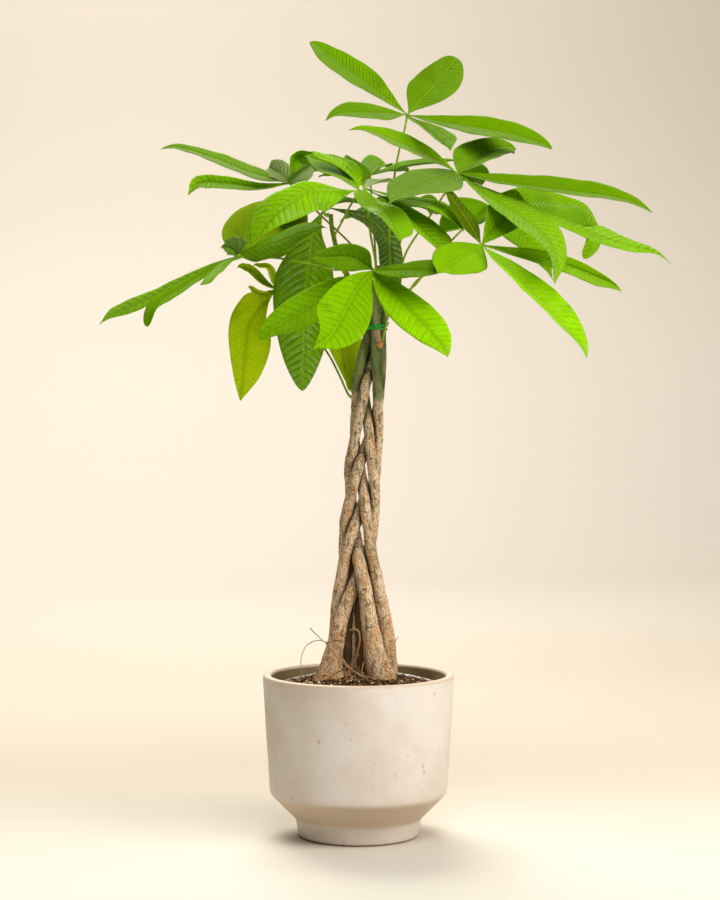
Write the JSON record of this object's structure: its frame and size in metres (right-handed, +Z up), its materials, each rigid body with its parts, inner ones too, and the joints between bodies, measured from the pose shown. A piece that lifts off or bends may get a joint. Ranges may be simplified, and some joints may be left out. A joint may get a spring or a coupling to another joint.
{
  "type": "potted money tree",
  "caption": "Small braided money tree houseplant with palmate green fronds, standing in soil in a tapered ceramic pot with a narrow foot.",
  "frame": {"origin": "middle of the pot's flat underside", "axes": "+Z up along the trunk, -Y to the front, +X to the right as seen from the front"},
  "size_m": [0.4785, 0.342, 0.6664],
  "materials": {
    "ceramic": "matte speckled glaze",
    "soil": "loose bark and peat mix",
    "bark": "rough bark",
    "tie_plastic": "satin coated wire",
    "leaf": "soft waxy sheen"
  },
  "bodies": {
    "root": {"pot": "ceramic", "soil": "soil", "stem_1": "bark", "stem_2": "bark", "stem_3": "bark", "stem_4": "bark", "stem_5": "bark", "tie": "tie_plastic", "frond_crown": "leaf", "frond_right_upper": "leaf", "frond_right_front": "leaf", "frond_front": "leaf", "frond_middle": "leaf", "frond_left_upper": "leaf", "frond_left_back": "leaf", "frond_left": "leaf", "side_shoot": "leaf", "side_shoot_small": "leaf", "frond_left_hanging": "leaf", "frond_right_back": "leaf", "frond_back_right": "leaf", "frond_back_left": "leaf"}
  },
  "joints": []
}
